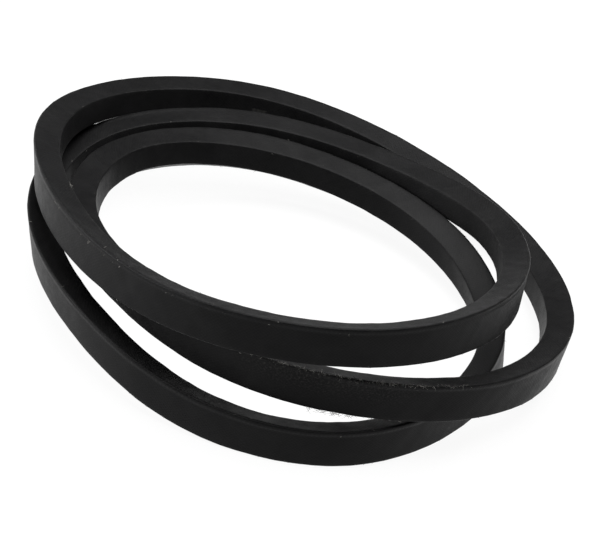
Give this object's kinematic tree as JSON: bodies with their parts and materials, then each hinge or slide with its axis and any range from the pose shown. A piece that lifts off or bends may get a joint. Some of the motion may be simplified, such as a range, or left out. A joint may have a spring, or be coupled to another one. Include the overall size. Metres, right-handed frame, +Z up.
{
  "type": "wrapped V belt",
  "caption": "Endless wrapped V belt of wedge section, lying in a loose coil, for driving grooved pulleys.",
  "frame": {"origin": "centre of the coil's bounding box, on the floor it lies on", "axes": "+Z up out of the coil; -Y is the side the coil is seen from, with +X to the right; the belt runs clockwise from above"},
  "size_m": [0.1734, 0.1736, 0.0485],
  "materials": {
    "cover_fabric": "matte, rubber-soaked bias weave",
    "inner_fabric": "matte, rubber-soaked bias weave",
    "tension_rubber": "matte",
    "cushion_gum": "matte",
    "compression_rubber": "matte",
    "tension_cord": "twisted polyester cord"
  },
  "bodies": {
    "root": {"outer_cover_ply": "cover_fabric", "inner_cover_ply": "inner_fabric", "tension_rubber": "tension_rubber", "outer_cushion_gum": "cushion_gum", "inner_cushion_gum": "cushion_gum", "compression_rubber": "compression_rubber", "tension_cord_1": "tension_cord", "tension_cord_2": "tension_cord", "tension_cord_3": "tension_cord", "tension_cord_4": "tension_cord", "tension_cord_5": "tension_cord", "tension_cord_6": "tension_cord", "tension_cord_7": "tension_cord", "tension_cord_8": "tension_cord"}
  },
  "joints": []
}
